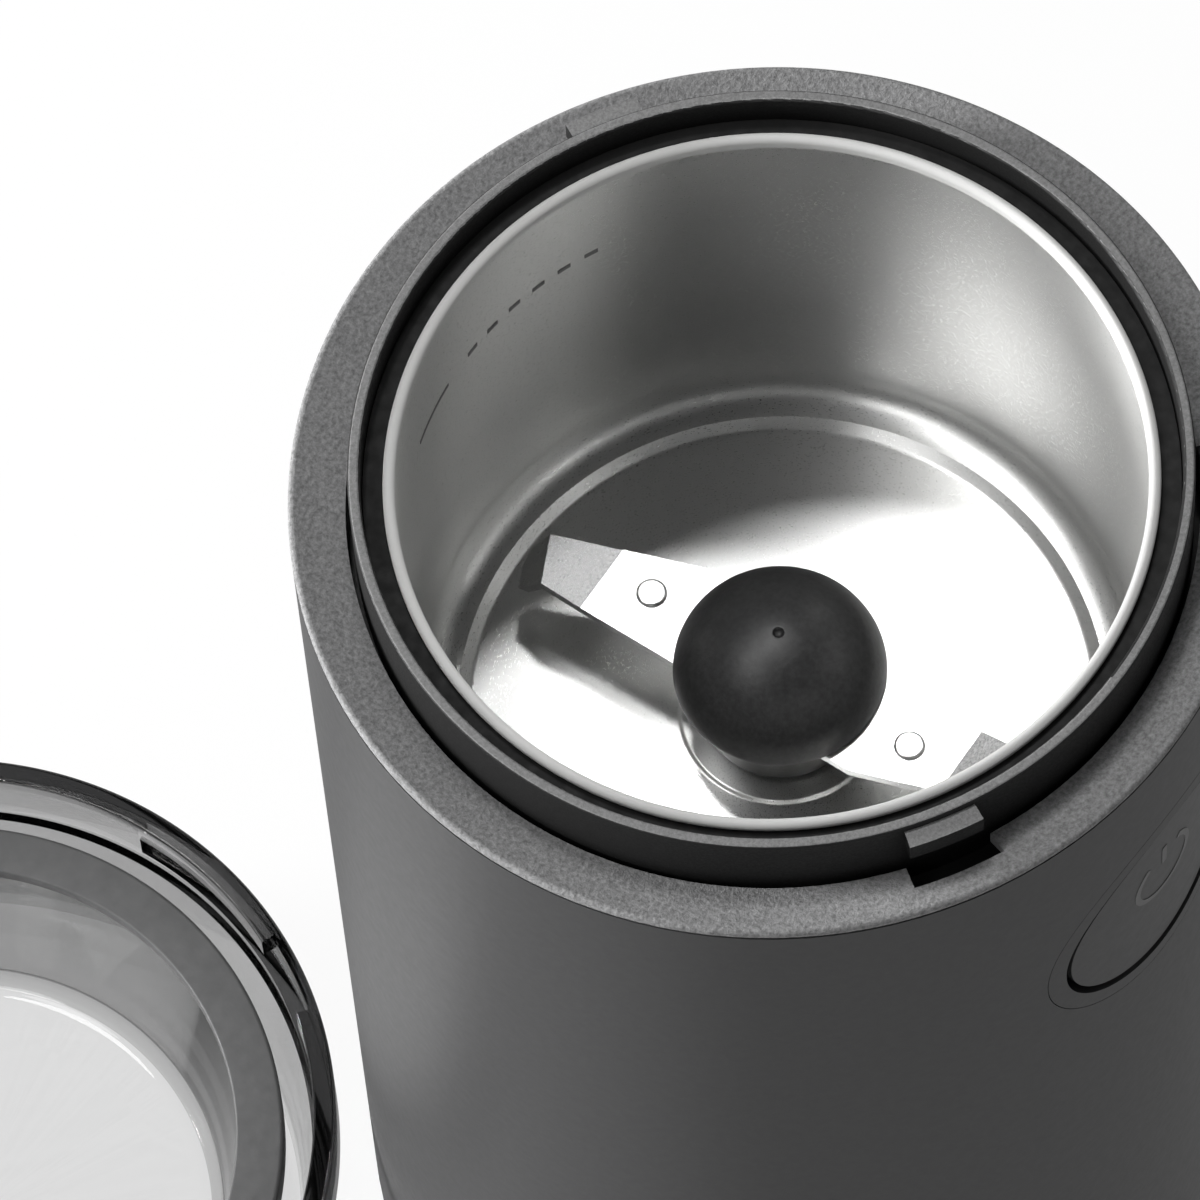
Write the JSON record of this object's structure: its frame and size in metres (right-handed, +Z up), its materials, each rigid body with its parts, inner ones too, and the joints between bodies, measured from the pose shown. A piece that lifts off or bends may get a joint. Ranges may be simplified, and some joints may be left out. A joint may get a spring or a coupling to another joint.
{
  "type": "electric spice grinder",
  "caption": "Cylindrical electric spice grinder with a steel bowl, a spinning two-wing blade, a push button and a clear twist-on lid lying upside down beside it.",
  "frame": {"origin": "point on the grinder's axis at the plane its feet stand on", "axes": "+Z up along the grinder's axis, -Y towards the push button"},
  "size_m": [0.1577, 0.16, 0.1642],
  "materials": {
    "body_plastic": "satin",
    "ring_plastic": "fine texture",
    "base_plastic": "matte",
    "gasket_rubber": "matte",
    "bowl_steel": "satin, bright rolled rim",
    "seal_rubber": "matte",
    "foot_rubber": "matte",
    "inner_plastic": "plain",
    "switch_plastic": "plain",
    "plunger_plastic": "plain",
    "screw_steel": "plain",
    "bracket_metal": "cast",
    "bearing_metal": "sintered",
    "core_steel": "stacked sheet",
    "copper": "enamelled wire",
    "carbon": "matte",
    "spring_steel": "plain",
    "shaft_steel": "ground",
    "blade_steel": "brushed",
    "cap_plastic": "semi-gloss",
    "button_plastic": "satin",
    "pin_plastic": "plain",
    "board": "plain",
    "component_plastic": "plain",
    "rectifier_plastic": "plain",
    "lid_clear": "smoky clear plastic"
  },
  "bodies": {
    "body": {"body_housing": "body_plastic", "button_bezel": "body_plastic", "top_ring": "ring_plastic", "bowl_collar": "ring_plastic", "base_cover": "base_plastic", "cord_gland": "base_plastic", "gland_nut": "base_plastic", "bowl_gasket": "gasket_rubber", "steel_bowl": "bowl_steel", "shaft_seal": "seal_rubber", "rubber_feet": "foot_rubber", "motor_cushions": "foot_rubber", "lower_motor_pad": "foot_rubber", "bowl_carrier": "inner_plastic", "brush_holders": "inner_plastic", "main_switch_body": "switch_plastic", "interlock_switch_body": "switch_plastic", "main_switch_bracket": "switch_plastic", "interlock_bracket": "switch_plastic", "carrier_screws": "screw_steel", "base_screws": "screw_steel", "cushion_screws": "screw_steel", "motor_screws": "screw_steel", "upper_motor_bracket": "bracket_metal", "lower_motor_bracket": "bracket_metal", "upper_bearing": "bearing_metal", "lower_bearing": "bearing_metal", "stator_core": "core_steel", "field_coils": "copper", "carbon_brushes": "carbon", "brush_springs": "spring_steel", "button_spring": "spring_steel", "interlock_spring": "spring_steel", "circuit_board": "board", "suppression_capacitor": "component_plastic", "rectifier": "rectifier_plastic"},
    "rotor": {"drive_shaft": "shaft_steel", "armature_core": "core_steel", "armature_windings": "copper", "commutator": "copper", "cooling_fan": "inner_plastic", "blade_hub": "cap_plastic", "blade": "blade_steel", "blade_cap": "cap_plastic"},
    "push_button": {"push_button": "button_plastic"},
    "main_lever": {"main_switch_lever": "spring_steel"},
    "main_plunger": {"main_switch_plunger": "plunger_plastic"},
    "interlock_pin": {"interlock_pin": "pin_plastic"},
    "interlock_lever": {"interlock_switch_lever": "spring_steel"},
    "interlock_plunger": {"interlock_switch_plunger": "plunger_plastic"},
    "lid": {"lid_shell": "lid_clear", "lid_seal": "seal_rubber"}
  },
  "joints": [
    {"name": "rotor_spin", "type": "hinge", "parent": "body", "child": "rotor", "pos_m": [0, 0, 0.0788], "axis": [0, 0, 1], "continuous": true},
    {"name": "button_press", "type": "slide", "parent": "body", "child": "push_button", "axis": [0, 1, 0], "range_m": [0, 0.0025], "stiffness_N_per_m": 1600, "springref_m": -0.0015, "deforming": ["button_spring"]},
    {"name": "main_lever_turn", "type": "hinge", "parent": "body", "child": "main_lever", "pos_m": [-0.0076, -0.0375, 0.0969], "axis": [0, 0, 1], "range_deg": [0, 18.9]},
    {"name": "main_plunger_slide", "type": "slide", "parent": "body", "child": "main_plunger", "axis": [0, 1, 0], "range_m": [0, 0.00106]},
    {"name": "interlock_press", "type": "slide", "parent": "body", "child": "interlock_pin", "axis": [0, 0, -1], "range_m": [0, 0.002], "stiffness_N_per_m": 600, "springref_m": -0.003, "deforming": ["interlock_spring"]},
    {"name": "interlock_lever_turn", "type": "hinge", "parent": "body", "child": "interlock_lever", "pos_m": [0.03218, -0.02652, 0.13495], "axis": [0.6428, -0.766, 0], "range_deg": [0, 15.1]},
    {"name": "interlock_plunger_slide", "type": "slide", "parent": "body", "child": "interlock_plunger", "axis": [0, 0, -1], "range_m": [0, 0.00085]},
    {"name": "lid_lift", "type": "slide", "parent": "body", "child": "lid", "axis": [0, 0, 1], "range_m": [0, 0.175]}
  ],
  "couplings": [
    {"joint": "main_lever_turn", "follows": "button_press", "rad_per_m": 131.58},
    {"joint": "main_plunger_slide", "follows": "button_press", "ratio": 0.42105},
    {"joint": "interlock_lever_turn", "follows": "interlock_press", "rad_per_m": 131.58},
    {"joint": "interlock_plunger_slide", "follows": "interlock_press", "ratio": 0.42105}
  ]
}
